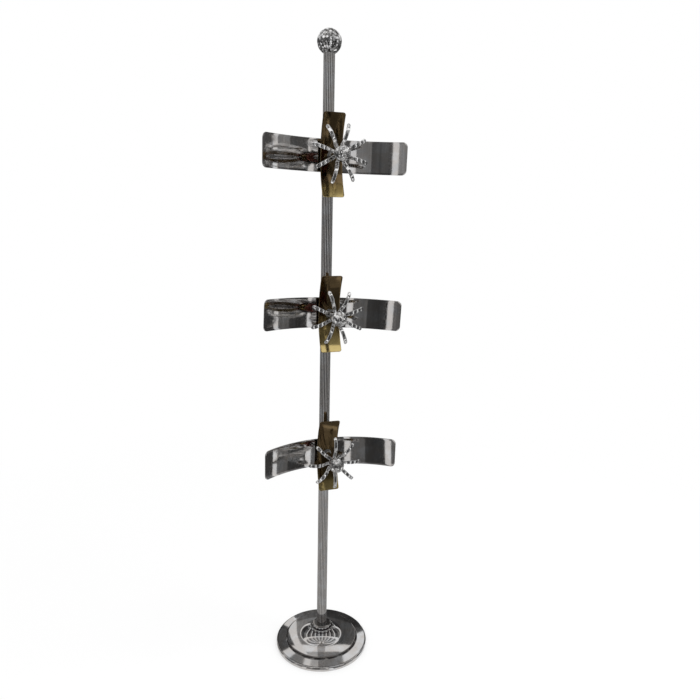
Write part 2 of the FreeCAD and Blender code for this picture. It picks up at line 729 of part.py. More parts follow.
def clamp_washer(station):
    """Washer shaped to the front of the upright strap, flat under its nut."""
    name = f"{station}_clamp_washer"
    disc = along_stud(f"{name}_disc", station, "dim.clamp_washer_radius", "at.upright_rear",
                      "at.clamp_nut_rear - at.upright_rear")
    strap_side = upright_form(f"{name}_strap_side", station, "dim.upright_bend - dim.upright_thickness / 2")
    return cut(name, common(f"{name}_blank", disc, strap_side),
               stud_bore(name, station, "at.upright_rear", "at.clamp_nut_rear - at.upright_rear"))


def clamp_nut(station):
    """Hexagon nut that clamps both straps to the pole, so that the star can turn while they stay put."""
    name = f"{station}_clamp_nut"
    blank = hexagon(f"{name}_blank", "at.nut_corner", "dim.nut_height", y="-at.clamp_nut_rear", z=height(station),
                    turned=FORWARD)
    return cut(name, blank, stud_bore(name, station, "at.clamp_nut_rear", "dim.nut_height", "dim.stud_radius"))


def thrust_washer(station):
    """Fibre washer between the sleeve and the turning star."""
    name = f"{station}_thrust_washer"
    length = "dim.thrust_washer_thickness"
    disc = along_stud(f"{name}_disc", station, "dim.thrust_washer_radius", "at.thrust_rear", length)
    return cut(name, disc, stud_bore(name, station, "at.thrust_rear", length))


def knob_washer(station):
    """Thin washer between the turning star and the ball knob."""
    name = f"{station}_knob_washer"
    length = "dim.knob_washer_thickness"
    disc = along_stud(f"{name}_disc", station, "dim.knob_washer_radius", "at.knob_washer_rear", length)
    return cut(name, disc, stud_bore(name, station, "at.knob_washer_rear", length))


make_base_pad()
make_base_weight()
make_base_cover()
make_base_collar()
make_base_bolt()
make_pole()
make_pole_plugs()
make_finial()
for station in STATIONS:
    make_cross_strap(station)
    make_upright_strap(station)
    make_stud_and_sleeve(station)
    make_finger_star(station)
    make_star_bush(station)
    make_ball_knob(station)
keep_set("pole_saddles", [pole_saddle(station) for station in STATIONS])
keep_set("rear_saddle_washers", [rear_saddle_washer(station) for station in STATIONS])
keep_set("dome_nuts", [dome_nut(station) for station in STATIONS])
keep_set("strap_spacers", [strap_spacer(station) for station in STATIONS])
keep_set("clamp_washers", [clamp_washer(station) for station in STATIONS])
keep_set("clamp_nuts", [clamp_nut(station) for station in STATIONS])
keep_set("thrust_washers", [thrust_washer(station) for station in STATIONS])
keep_set("knob_washers", [knob_washer(station) for station in STATIONS])
doc.recompute()

# ------------------------------------------------------------------------------------------ check, then write STEP
failed = [item.Name for item in doc.Objects if {"Invalid", "Error"} & set(item.State)]
failed += [name for name, item in nodes.items() if item.Shape.isNull() or not item.Shape.isValid()]
if failed:
    raise RuntimeError(f"these objects failed: {', '.join(failed)}")

os.makedirs("parts", exist_ok=True)
for name, item in nodes.items():
    item.Shape.exportStep(os.path.join("parts", f"{name}.step"))
    print(f"{name}: {len(item.Shape.Solids)} solid(s), {item.Shape.Volume / 1000:.2f} cm3")
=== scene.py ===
"""Looks for a chrome and brass floor display stand with three stations on one pole."""

from math import asin, cos, pi, radians, sin, sqrt

import bmesh
import bpy
from mathutils import Matrix, Vector


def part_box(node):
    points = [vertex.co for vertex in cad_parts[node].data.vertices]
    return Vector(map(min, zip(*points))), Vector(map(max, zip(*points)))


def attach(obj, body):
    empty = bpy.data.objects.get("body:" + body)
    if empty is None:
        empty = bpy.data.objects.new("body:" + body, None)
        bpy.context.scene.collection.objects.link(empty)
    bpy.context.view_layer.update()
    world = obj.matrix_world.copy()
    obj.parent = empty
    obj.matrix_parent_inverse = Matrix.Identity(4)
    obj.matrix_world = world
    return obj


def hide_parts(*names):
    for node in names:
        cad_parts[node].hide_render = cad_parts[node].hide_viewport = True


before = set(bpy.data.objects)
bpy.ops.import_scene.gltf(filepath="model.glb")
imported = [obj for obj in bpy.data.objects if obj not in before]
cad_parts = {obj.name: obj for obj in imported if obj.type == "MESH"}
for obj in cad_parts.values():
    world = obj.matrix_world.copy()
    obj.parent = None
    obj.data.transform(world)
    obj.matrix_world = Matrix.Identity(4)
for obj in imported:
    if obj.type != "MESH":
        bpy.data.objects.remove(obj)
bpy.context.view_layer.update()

# ------------------------------------------------------------------------------------------ felt pad and iron
# The stand rests on a disc of dark felt glued under a cast iron weight. Iron, bolt and plugs sit inside the
# chromed pieces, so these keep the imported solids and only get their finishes.

MM = 0.001
FELT_DARK, FELT_LIGHT = (0.018, 0.020, 0.018, 1), (0.050, 0.056, 0.050, 1)
IRON_DARK, IRON_LIGHT = (0.020, 0.019, 0.018, 1), (0.075, 0.070, 0.066, 1)
STEEL_DARK, STEEL_LIGHT = (0.24, 0.24, 0.235, 1), (0.50, 0.50, 0.49, 1)


def new_finish(name, metallic, roughness):
    """A finish, its node tree, its shader, and the object coordinates that its patterns read."""
    finish = bpy.data.materials.new(name)
    finish.use_nodes = True
    tree = finish.node_tree
    shader = tree.nodes["Principled BSDF"]
    shader.inputs["Metallic"].default_value = metallic
    shader.inputs["Roughness"].default_value = roughness
    return finish, tree, shader, tree.nodes.new("ShaderNodeTexCoord").outputs["Object"]


def cloudy(tree, place, scale, stretch=(1, 1, 1), detail=3):
    """Soft noise with that many patches to the metre, drawn out along the axes where stretch is small."""
    mapping = tree.nodes.new("ShaderNodeMapping")
    mapping.inputs["Scale"].default_value = stretch
    tree.links.new(place, mapping.inputs["Vector"])
    noise = tree.nodes.new("ShaderNodeTexNoise")
    noise.inputs["Scale"].default_value = scale
    noise.inputs["Detail"].default_value = detail
    tree.links.new(mapping.outputs["Vector"], noise.inputs["Vector"])
    return noise.outputs["Fac"]


def graded(tree, source, *stops):
    """Colours set along a pattern: each stop is (position, colour)."""
    ramp = tree.nodes.new("ShaderNodeValToRGB")
    while len(ramp.color_ramp.elements) < len(stops):
        ramp.color_ramp.elements.new(1)
    for element, (position, colour) in zip(ramp.color_ramp.elements, stops):
        element.position = position
        element.color = colour
    tree.links.new(source, ramp.inputs["Fac"])
    return ramp.outputs["Color"]


def ranged(tree, source, low, high):
    """A pattern's values from 0.3 to 0.7 spread between two amounts."""
    spread = tree.nodes.new("ShaderNodeMapRange")
    spread.inputs["From Min"].default_value = 0.3
    spread.inputs["From Max"].default_value = 0.7
    spread.inputs["To Min"].default_value = low
    spread.inputs["To Max"].default_value = high
    tree.links.new(source, spread.inputs["Value"])
    return spread.outputs["Result"]


def raised(tree, shader, source, depth):
    """Fine relief from a pattern, that deep in metres."""
    bump = tree.nodes.new("ShaderNodeBump")
    bump.inputs["Strength"].default_value = 1
    bump.inputs["Distance"].default_value = depth
    earlier = shader.inputs["Normal"].links
    if earlier:
        tree.links.new(earlier[0].from_socket, bump.inputs["Normal"])
    tree.links.new(source, bump.inputs["Height"])
    tree.links.new(bump.outputs["Normal"], shader.inputs["Normal"])


def make_felt():
    finish, tree, shader, place = new_finish("dark_felt", 0, 0.95)
    fibres = cloudy(tree, place, 900, detail=6)
    tree.links.new(graded(tree, fibres, (0.35, FELT_DARK), (0.65, FELT_LIGHT)), shader.inputs["Base Color"])
    shader.inputs["Sheen Weight"].default_value = 0.4
    raised(tree, shader, fibres, 0.4 * MM)
    return finish


def make_cast_iron():
    finish, tree, shader, place = new_finish("black_cast_iron", 0.6, 0.6)
    sand = cloudy(tree, place, 500, detail=5)
    tree.links.new(graded(tree, sand, (0.35, IRON_DARK), (0.7, IRON_LIGHT)), shader.inputs["Base Color"])
    tree.links.new(ranged(tree, cloudy(tree, place, 60), 0.45, 0.75), shader.inputs["Roughness"])
    raised(tree, shader, sand, 0.3 * MM)
    return finish


def make_zinc_steel():
    finish, tree, shader, place = new_finish("zinc_steel", 1, 0.3)
    bloom = cloudy(tree, place, 220, detail=5)
    tree.links.new(graded(tree, bloom, (0.3, STEEL_DARK), (0.7, STEEL_LIGHT)), shader.inputs["Base Color"])
    tree.links.new(ranged(tree, cloudy(tree, place, 700), 0.2, 0.42), shader.inputs["Roughness"])
    raised(tree, shader, bloom, 0.02 * MM)
    return finish


def dress(nodes, finish):
    """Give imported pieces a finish."""
    for node in nodes:
        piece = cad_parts[node]
        if not piece.material_slots:
            piece.data.materials.append(finish)
        for piece_slot in piece.material_slots:
            piece_slot.material = finish


zinc_steel = make_zinc_steel()
dress(["base_pad"], make_felt())
dress(["base_weight"], make_cast_iron())
dress(["base_washer", "base_bolt", "pole_foot_plug", "pole_top_plug", "finial_stud"], zinc_steel)

# ------------------------------------------------------------------------------------------------- base cover
# A disc of sheet steel spun over a form and chromed: rolled rim, shallow cone, a sharp step, a gently rising
# disc and a bell that flares up to the pole. Every bend keeps the small radius that the spinning tool leaves.

COVER_RIM, COVER_RIM_ROUND, COVER_RIM_HEIGHT, COVER_RIM_LIFT = 119.1 * MM, 3.5 * MM, 11.0 * MM, 0.8 * MM
COVER_STEP_FOOT, COVER_STEP_FOOT_HEIGHT = 94.4 * MM, 14.6 * MM
COVER_STEP, COVER_STEP_HEIGHT, COVER_STEP_ROUND = 93.4 * MM, 20.0 * MM, 4.0 * MM
BELL_FOOT, BELL_FOOT_HEIGHT, BELL_CROWN = 60.0 * MM, 23.6 * MM, 28.0 * MM
COVER_HOLE = 12.85 * MM
COVER_WALL = 1.2 * MM
COVER_ROUND_STEPS = 192
WORN_TONES = (0.50, 0.50, 0.505, 1), (0.53, 0.505, 0.485, 1), (0.59, 0.59, 0.595, 1)
# The paler set below is painted light: chrome paler than the plate, so that fingers and balls look more
# brightly lit.
LIT_TONES = (0.78, 0.78, 0.785, 1), (0.86, 0.85, 0.84, 1), (0.95, 0.95, 0.955, 1)
CHROME_PIT = (0.16, 0.15, 0.145, 1)
# The first of these leaves a colour as it is; the other two are painted shade, laid in corners and creases.
UNDARKENED, LIGHT_SHADE, DEEP_SHADE = (1, 1, 1, 1), (0.45, 0.44, 0.43, 1), (0.14, 0.135, 0.13, 1)


def bow(centre, radius, start, end, steps):
    """Points on an arc in an outline, from one angle to the other, in degrees."""
    angles = [radians(start + (end - start) * step / steps) for step in range(steps + 1)]
    return [(centre[0] + radius * cos(angle), centre[1] + radius * sin(angle)) for angle in angles]


def eased(corners, steps=4):
    """An outline with its corners rounded: a corner is (x, y) or (x, y, radius)."""
    outline = []
    for index, corner in enumerate(corners):
        spot = Vector(corner[:2])
        if len(corner) == 2:
            outline.append(tuple(spot))
            continue
        before = spot + (Vector(corners[index - 1][:2]) - spot).normalized() * corner[2]
        after = spot + (Vector(corners[(index + 1) % len(corners)][:2]) - spot).normalized() * corner[2]
        for step in range(steps + 1):
            share = step / steps
            outline.append(tuple(before.lerp(spot, share).lerp(spot.lerp(after, share), share)))
    return outline


def finished(name, form, sharp=32):
    """The form as a piece of the stand, with its faces outward and smooth up to the sharp angle."""
    bmesh.ops.remove_doubles(form, verts=form.verts, dist=1e-7)
    bmesh.ops.recalc_face_normals(form, faces=form.faces)
    mesh = bpy.data.meshes.new(name)
    form.to_mesh(mesh)
    form.free()
    mesh.polygons.foreach_set("use_smooth", [True] * len(mesh.polygons))
    mesh.set_sharp_from_angle(angle=radians(sharp))
    piece = bpy.data.objects.new(name, mesh)
    bpy.context.scene.collection.objects.link(piece)
    return piece


def round_pole(radius, angle, height):
    """Where a point of an outline goes when the piece stands on the pole's axis."""
    return (radius * cos(angle), radius * sin(angle), height)


def turned(name, outline, steps, spot=round_pole):
    """A piece turned from an outline of (radius, distance along the axis); one off the axis makes a ring."""
    form = bmesh.new()
    rings = []
    for radius, along in outline:
        if radius < 1e-9:
            rings.append([form.verts.new(spot(0, 0, along))] * steps)
        else:
            angles = [2 * pi * turn / steps for turn in range(steps)]
            rings.append([form.verts.new(spot(radius, angle, along)) for angle in angles])
    if outline[0][0] > 1e-9:
        rings.append(rings[0])
    for near, far in zip(rings, rings[1:]):
        for turn in range(steps):
            corners = dict.fromkeys((near[turn - 1], near[turn], far[turn], far[turn - 1]))
            form.faces.new(corners)
    return finished(name, form)


def put(piece, finish, body, slot, *nodes):
    """Give a piece its finish and its body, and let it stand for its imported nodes."""
    piece.data.materials.clear()
    piece.data.materials.append(finish)
    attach(piece, body)
    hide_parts(*nodes)
    return piece


def darkened(tree, colour, darkening):
    """A colour multiplied by a darkening tone: pits in the plate, and painted shade in corners and creases.
    """
    mix = tree.nodes.new("ShaderNodeMix")
    mix.data_type = "RGBA"
    mix.blend_type = "MULTIPLY"
    mix.inputs["Factor"].default_value = 1
    tree.links.new(colour, mix.inputs["A"])
    tree.links.new(darkening, mix.inputs["B"])
    return mix.outputs["Result"]


def shaded_in_corners(finish, along, start, end, *stops):
    """Painted shade in the corners of a turned piece, as dark bands across its radius or its height."""
    tree = finish.node_tree
    shader = tree.nodes["Principled BSDF"]
    place = next(node for node in tree.nodes if node.type == "TEX_COORD").outputs["Object"]
    part = tree.nodes.new("ShaderNodeVectorMath")
    part.operation = "MULTIPLY"
    part.inputs[1].default_value = along
    length = tree.nodes.new("ShaderNodeVectorMath")
    length.operation = "LENGTH"
    spread = tree.nodes.new("ShaderNodeMapRange")
    spread.inputs["From Min"].default_value = start
    spread.inputs["From Max"].default_value = end
    tree.links.new(place, part.inputs[0])
    tree.links.new(part.outputs["Vector"], length.inputs[0])
    tree.links.new(length.outputs["Value"], spread.inputs["Value"])
    shares = [((spot - start) / (end - start), tone) for spot, tone in stops]
    darkening = graded(tree, spread.outputs["Result"], *shares)
    unshaded = shader.inputs["Base Color"].links[0].from_socket
    tree.links.new(darkened(tree, unshaded, darkening), shader.inputs["Base Color"])
    return finish


def make_chrome(name, stretch, ripple=0.05, lines=0.0002, tones=WORN_TONES, run=(1, 1, 1)):
    """Old chrome plate: clouds in three tones, scratches along stretch, a ripple along run, dark pits."""
    finish, tree, shader, place = new_finish(name, 1, 0.1)
    deep, warm, pale = tones
    clouds = graded(tree, cloudy(tree, place, 28, detail=4), (0.34, deep), (0.5, warm), (0.64, pale))
    pits = graded(tree, cloudy(tree, place, 420, detail=2), (0.24, CHROME_PIT), (0.29, UNDARKENED))
    tree.links.new(darkened(tree, clouds, pits), shader.inputs["Base Color"])
    scratches = cloudy(tree, place, 600, stretch=stretch, detail=3)
    tree.links.new(ranged(tree, scratches, 0.03, 0.10), shader.inputs["Roughness"])
    raised(tree, shader, cloudy(tree, place, 30, stretch=run, detail=1), ripple * MM)
    raised(tree, shader, scratches, lines * MM)
    return finish


cover_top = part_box("base_cover")[1].z
bell_bow = ((BELL_FOOT - BELL_CROWN) ** 2 + (cover_top - BELL_FOOT_HEIGHT) ** 2)
bell_bow /= 2 * (cover_top - BELL_FOOT_HEIGHT)
bell_end = -180 + asin((BELL_FOOT_HEIGHT + bell_bow - cover_top) / bell_bow) * 180 / pi
cover_outside = eased([
    (COVER_RIM, COVER_RIM_LIFT, 0.4 * MM),
    (COVER_RIM, COVER_RIM_HEIGHT, COVER_RIM_ROUND),
    (COVER_STEP_FOOT, COVER_STEP_FOOT_HEIGHT, 1.1 * MM),
    (COVER_STEP, COVER_STEP_HEIGHT, COVER_STEP_ROUND),
    (BELL_FOOT, BELL_FOOT_HEIGHT),
], steps=7)[5:]
cover_bell = bow((BELL_FOOT, BELL_FOOT_HEIGHT + bell_bow), bell_bow, -90, bell_end, 20)
cover_inside = [
    (COVER_HOLE, cover_top),
    (COVER_HOLE, cover_top - COVER_WALL),
    (BELL_CROWN - COVER_WALL, cover_top - COVER_WALL),
    *bow((BELL_FOOT, BELL_FOOT_HEIGHT + bell_bow), bell_bow + COVER_WALL, bell_end, -90, 12),
    (COVER_STEP - COVER_STEP_ROUND, COVER_STEP_HEIGHT - COVER_WALL),
    (COVER_STEP - COVER_WALL, COVER_STEP_HEIGHT - COVER_STEP_ROUND),
    (COVER_STEP_FOOT - COVER_WALL, COVER_STEP_FOOT_HEIGHT - COVER_WALL),
    (COVER_RIM - COVER_RIM_ROUND, COVER_RIM_HEIGHT - COVER_WALL),
    (COVER_RIM - COVER_WALL, COVER_RIM_HEIGHT - COVER_RIM_ROUND),
    (COVER_RIM - COVER_WALL, COVER_RIM_LIFT),
]
# Painted shade: dark bands on the cover where the collar meets it, on the step's riser and at its foot, and
# at the rim's shoulder.
cover_chrome = shaded_in_corners(
    make_chrome("cover_chrome", (1, 1, 1), ripple=0.02), (1, 1, 0), 0.02, 0.12,
    (28.2 * MM, DEEP_SHADE), (29.2 * MM, UNDARKENED),
    (COVER_STEP - COVER_STEP_ROUND - 0.6 * MM, UNDARKENED), (COVER_STEP - COVER_STEP_ROUND + 0.8 * MM, LIGHT_SHADE),
    (COVER_STEP, DEEP_SHADE), (COVER_STEP_FOOT + 1.5 * MM, UNDARKENED),
    (COVER_RIM - COVER_RIM_ROUND - 1.2 * MM, UNDARKENED), (COVER_RIM - COVER_RIM_ROUND, DEEP_SHADE),
    (COVER_RIM - COVER_RIM_ROUND + 1.0 * MM, UNDARKENED),
)
cover = turned("spun_base_cover", cover_outside + cover_bell + cover_inside, COVER_ROUND_STEPS)
put(cover, cover_chrome, "stand", "chrome", "base_cover")

# ------------------------------------------------------------------------------------------------ pole collar
# A turned and chromed collar that covers the joint of pole and cover: one large round bead and a smaller one.

COLLAR, COLLAR_BEAD, NECK, NECK_BEAD = 27.5 * MM, 3.6 * MM, 23.0 * MM, 2.6 * MM
COLLAR_STEPS = 128
collar_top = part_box("base_collar")[1].z
neck_foot = collar_top - 5.0 * MM


def bead(radius, bulge, bottom, top):
    """The outside of a round bead between two heights, standing that far out."""
    middle, half = (bottom + top) / 2, (top - bottom) / 2
    reach = asin(half / bulge) * 180 / pi
    return bow((radius - bulge * cos(asin(half / bulge)), middle), bulge, -reach, reach, 14)


collar_outline = [
    (COVER_HOLE, cover_top),
    *bead(COLLAR, COLLAR_BEAD, cover_top, neck_foot),
    *bead(NECK, NECK_BEAD, neck_foot, collar_top),
    (COVER_HOLE, collar_top),
]
collar = turned("pole_collar", collar_outline, COLLAR_STEPS)
# Painted shade: dark bands where the collar sits on the cover, in the groove between its beads, and round the
# pole at its top.
collar_chrome = shaded_in_corners(
    make_chrome("collar_chrome", (1, 1, 1), ripple=0.01), (0, 0, 1), cover_top, collar_top,
    (cover_top, DEEP_SHADE), (cover_top + 1.2 * MM, UNDARKENED),
    (neck_foot - 0.9 * MM, UNDARKENED), (neck_foot, DEEP_SHADE), (neck_foot + 0.9 * MM, UNDARKENED),
    (collar_top - 0.5 * MM, UNDARKENED), (collar_top, LIGHT_SHADE),
)
put(collar, collar_chrome, "stand", "chrome", "base_collar")

# ------------------------------------------------------------------------------------------ pole and its ball
# One length of chromed steel tube, drawn and polished along its length, closed at the top by a
# ball that screws down on a stud. The ball is polished last and shows small hammered facets.

POLE_WALL = 1.5 * MM
POLE_STEPS, POLE_RINGS = 96, 40
BALL_STEPS, BALL_RINGS = 96, 48

pole_foot, pole_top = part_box("pole")[0].z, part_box("pole")[1].z
pole_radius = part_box("pole")[1].x
pole_rise = [pole_foot + (pole_top - pole_foot) * ring / POLE_RINGS for ring in range(POLE_RINGS + 1)]
pole_outline = [(pole_radius, height) for height in pole_rise]
pole_outline += [(pole_radius - POLE_WALL, height) for height in reversed(pole_rise)]
pole_chrome = make_chrome("pole_chrome", (1, 1, 0.01), ripple=0.02)
put(turned("pole_tube", pole_outline, POLE_STEPS), pole_chrome, "stand", "chrome", "pole")
FACET_SCALE, FINIAL_DENT = 190, 0.45 * MM


def make_ball_chrome(name, crease_shade, dent):
    """Chrome on a ball in paler, painted-light tones: small facets break the reflections up, and painted
    shade darkens their creases.
    """
    finish = make_chrome(name, (1, 1, 1), ripple=0.0, tones=LIT_TONES)
    tree = finish.node_tree
    facets = tree.nodes.new("ShaderNodeTexVoronoi")
    facets.inputs["Scale"].default_value = FACET_SCALE
    place = next(node for node in tree.nodes if node.type == "TEX_COORD").outputs["Object"]
    tree.links.new(place, facets.inputs["Vector"])
    shader = tree.nodes["Principled BSDF"]
    plate = shader.inputs["Base Color"].links[0].from_socket
    crease_shading = graded(tree, facets.outputs["Distance"], (0.3, UNDARKENED), (0.8, crease_shade))
    tree.links.new(darkened(tree, plate, crease_shading), shader.inputs["Base Color"])
    raised(tree, shader, facets.outputs["Distance"], dent)
    return finish


# The finial's creases get the deepest painted shade.
finial_chrome = make_ball_chrome("finial_chrome", DEEP_SHADE, FINIAL_DENT)
ball_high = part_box("finial_ball")[1]
ball_radius = ball_high.x
ball_middle = ball_high.z - ball_radius
ball_seat = asin(pole_radius / ball_radius) * 180 / pi
stud_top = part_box("finial_stud")[1].z
stud_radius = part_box("finial_stud")[1].x
ball_outline = [
    (0, ball_middle + ball_radius),
    *bow((0, ball_middle), ball_radius, 90, -90 + ball_seat, BALL_RINGS)[1:],
    (stud_radius, ball_middle - ball_radius * cos(radians(ball_seat))),
    (stud_radius, stud_top),
    (0, stud_top),
]
put(turned("finial_ball_top", ball_outline, BALL_STEPS), finial_chrome, "stand", "chrome", "finial_ball")

# -------------------------------------------------------------------------------------- saddles and dome nuts
# At each station a steel saddle fits the front of the pole, a shaped washer its back, and a chromed dome nut
# closes the stud behind. The dome nut is cold formed: a hexagon with a chamfer that runs into its cap.

STATIONS = ("upper", "middle", "lower")
NUT_CORNER, NUT_HEIGHT, NUT_CAP, NUT_CHAMFER = 7.5 * MM, 6.5 * MM, 6.0 * MM, 0.9 * MM
dress(["pole_saddles", "rear_saddle_washers"], zinc_steel)
heights = {name: sum(corner.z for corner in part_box(f"{name}_stud")) / 2 for name in STATIONS}


def on_stud(station):
    """Where an outline's point goes when the piece sits on a station's stud, measured from the pole."""
    def spot(radius, angle, reach):
        return (radius * cos(angle), -reach, heights[station] + radius * sin(angle))
    return spot


def hexagon_nut(name, spot, rear, front):
    """A hexagon with both rims of its corners chamfered; rear and front are its faces along the axis."""
    form = bmesh.new()
    depth = NUT_CHAMFER * 0.55 * (1 if front > rear else -1)
    rings = []
    for corner, along in ((-1, rear), (0, rear + depth), (0, front - depth), (-1, front)):
        radius = NUT_CORNER + corner * NUT_CHAMFER
        rings.append([form.verts.new(spot(radius, pi / 3 * side, along)) for side in range(6)])
    for near, far in zip(rings, rings[1:]):
        for side in range(6):
            form.faces.new((near[side - 1], near[side], far[side], far[side - 1]))
    form.faces.new(rings[0])
    form.faces.new(rings[-1])
    bmesh.ops.recalc_face_normals(form, faces=form.faces)
    edges = [edge for edge in form.edges if edge.calc_face_angle(0) > radians(20)]
    bmesh.ops.bevel(form, geom=edges, offset=0.15 * MM, segments=2, profile=0.5, affect="EDGES")
    return finished(name, form)


def make_station_repeat():
    """The same small piece at every station: the first one's mesh, set down again at the other heights."""
    tree = bpy.data.node_groups.new("same_at_every_station", "GeometryNodeTree")
    tree.interface.new_socket("Piece", in_out="INPUT", socket_type="NodeSocketGeometry")
    for name in ("Second drop", "Third drop"):
        tree.interface.new_socket(name, in_out="INPUT", socket_type="NodeSocketFloat")
    tree.interface.new_socket("Finish", in_out="INPUT", socket_type="NodeSocketMaterial")
    tree.interface.new_socket("Pieces", in_out="OUTPUT", socket_type="NodeSocketGeometry")
    start, end = tree.nodes.new("NodeGroupInput"), tree.nodes.new("NodeGroupOutput")
    joined = tree.nodes.new("GeometryNodeJoinGeometry")
    tree.links.new(start.outputs["Piece"], joined.inputs["Geometry"])
    for name in ("Second drop", "Third drop"):
        point = tree.nodes.new("GeometryNodePoints")
        down = tree.nodes.new("ShaderNodeMath")
        down.operation = "MULTIPLY"
        down.inputs[1].default_value = -1
        where = tree.nodes.new("ShaderNodeCombineXYZ")
        copies = tree.nodes.new("GeometryNodeInstanceOnPoints")
        tree.links.new(start.outputs[name], down.inputs[0])
        tree.links.new(down.outputs[0], where.inputs["Z"])
        tree.links.new(where.outputs["Vector"], point.inputs["Position"])
        tree.links.new(point.outputs["Points"], copies.inputs["Points"])
        tree.links.new(start.outputs["Piece"], copies.inputs["Instance"])
        tree.links.new(copies.outputs["Instances"], joined.inputs["Geometry"])
    plain = tree.nodes.new("GeometryNodeRealizeInstances")
    painted = tree.nodes.new("GeometryNodeSetMaterial")
    tree.links.new(joined.outputs["Geometry"], plain.inputs["Geometry"])
    tree.links.new(plain.outputs["Geometry"], painted.inputs["Geometry"])
    tree.links.new(start.outputs["Finish"], painted.inputs["Material"])
    tree.links.new(painted.outputs["Geometry"], end.inputs["Pieces"])
    return tree


station_repeat = make_station_repeat()


def grown(piece, tree, **inputs):
    """Run a node tree on a piece with its named inputs, and keep the result as the piece's plain mesh."""
    grower = piece.modifiers.new("grower", "NODES")
    grower.node_group = tree
    for item in tree.interface.items_tree:
        key = item.name.lower().replace(" ", "_")
        if item.in_out == "INPUT" and key in inputs:
            grower[item.identifier] = inputs[key]
    bpy.context.view_layer.update()
    shown = piece.evaluated_get(bpy.context.evaluated_depsgraph_get())
    mesh = bpy.data.meshes.new_from_object(shown)
    mesh.name = piece.name
    piece.modifiers.remove(grower)
    piece.data = mesh
    return piece


def at_every_station(piece, finish):
    return grown(piece, station_repeat, second_drop=heights["upper"] - heights["middle"],
                 third_drop=heights["upper"] - heights["lower"], finish=finish)


def joined(pieces):
    """Several forms as one piece, under the first one's name."""
    form = bmesh.new()
    for piece in pieces:
        form.from_mesh(piece.data)
    for piece in pieces[1:]:
        bpy.data.objects.remove(piece)
    form.to_mesh(pieces[0].data)
    form.free()
    return pieces[0]


small_chrome = make_chrome("small_chrome", (1, 1, 1), ripple=0.01)
rear_seat = -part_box("rear_saddle_washers")[1].y
rear_flats = hexagon_nut("dome_nuts_behind", on_stud("upper"), rear_seat, rear_seat - NUT_HEIGHT)
cap_start = rear_seat - NUT_HEIGHT + 0.2 * MM
cap_outline = [(0, cap_start), (NUT_CAP - 0.4 * MM, cap_start)]
cap_bow = bow((0, 0.0), NUT_CAP - 0.4 * MM, 4, 90, 14)[:-1]
cap_outline += [(radius, cap_start - rise) for radius, rise in cap_bow]
cap_outline += [(0, cap_start - NUT_CAP + 0.4 * MM)]
rear_caps = turned("rear_cap", cap_outline, 48, on_stud("upper"))
rear_nuts = at_every_station(joined([rear_flats, rear_caps]), small_chrome)
put(rear_nuts, small_chrome, "stand", "chrome", "dome_nuts")

# ----------------------------------------------------------------------------------------------- cross straps
# A wide strip of steel, cut with rounded corners, rolled to one bend with its ends forward, then polished
# and chromed. Each one hangs a little crooked on its stud. The strips are hand rolled and never quite true.

CROSS_LENGTH, CROSS_WIDTH, CROSS_THICK, CROSS_BEND, CROSS_CORNER = (
    348.0 * MM, 71.0 * MM, 2.0 * MM, 264.0 * MM, 11.0 * MM)
CROSS_CENTRE = 281.2 * MM
STRAP_COLUMNS, STRAP_ROWS, STRAP_CORNER_COLUMNS = 72, 14, 10
STRAP_EDGE = 0.45 * MM
BORE_STEPS = 48
DROOPS = {"upper": 1.0, "middle": 2.2, "lower": 0.5}
stud_bore = 4.15 * MM


def strap_stations(length, corner):
    """Distances along a strap at which it is sectioned, closer together in the rounded corners."""
    half = length / 2
    ends = [half - corner + corner * sin(pi / 2 * step / STRAP_CORNER_COLUMNS)
            for step in range(STRAP_CORNER_COLUMNS + 1)]
    middle = [(half - corner) * (2 * step / STRAP_COLUMNS - 1) for step in range(1, STRAP_COLUMNS)]
    return [-spot for spot in reversed(ends)] + middle + ends


def strap_half_width(spot, length, width, corner):
    over = max(0.0, abs(spot) - (length / 2 - corner))
    return width / 2 - corner + sqrt(max(0.0, corner * corner - over * over))


def skin_plate(form, sides, ease, segments):
    """Faces for both sides of a plate and its rim, with eased edges; a side is a list of point columns."""
    rims = []
    for side in sides:
        for near, far in zip(side, side[1:]):
            for row in range(len(near) - 1):
                form.faces.new((near[row], near[row + 1], far[row + 1], far[row]))
        rim = [column[0] for column in side] + side[-1][1:]
        rim += [column[-1] for column in reversed(side[:-1])]
        rims.append(rim + list(reversed(side[0][1:-1])))
    for index in range(len(rims[0])):
        form.faces.new((rims[0][index - 1], rims[0][index], rims[1][index], rims[1][index - 1]))
    bmesh.ops.recalc_face_normals(form, faces=form.faces)
    edges = [edge for edge in form.edges if edge.calc_face_angle(0) > radians(60)]
    bmesh.ops.bevel(form, geom=edges, offset=ease, segments=segments, profile=0.5, affect="EDGES")


def bent_strap(name, length, width, thick, corner, spot):
    """A strap with rounded corners and eased edges; spot gives a point from (along, across, depth)."""
    form = bmesh.new()
    sides = []
    for depth in (-thick / 2, thick / 2):
        side = []
        for along in strap_stations(length, corner):
            half = strap_half_width(along, length, width, corner)
            rows = [half * (2 * row / STRAP_ROWS - 1) for row in range(STRAP_ROWS + 1)]
            side.append([form.verts.new(spot(along, across, depth)) for across in rows])
        sides.append(side)
    skin_plate(form, sides, STRAP_EDGE, 3)
    return finished(name, form)


def bored(piece, cutter):
    """Drill a piece with a cutter, which is used up."""
    drill = piece.modifiers.new("drill", "BOOLEAN")
    drill.operation = "DIFFERENCE"
    drill.solver = "EXACT"
    drill.object = cutter
    bpy.context.view_layer.update()
    shown = piece.evaluated_get(bpy.context.evaluated_depsgraph_get())
    mesh = bpy.data.meshes.new_from_object(shown)
    mesh.name = piece.name
    piece.modifiers.remove(drill)
    piece.data = mesh
    bpy.data.objects.remove(cutter)
    return piece


def stud_drill(station, radius, rear, front):
    outline = [(0, rear), (radius, rear), (radius, front), (0, front)]
    return turned("drill", outline, BORE_STEPS, on_stud(station))


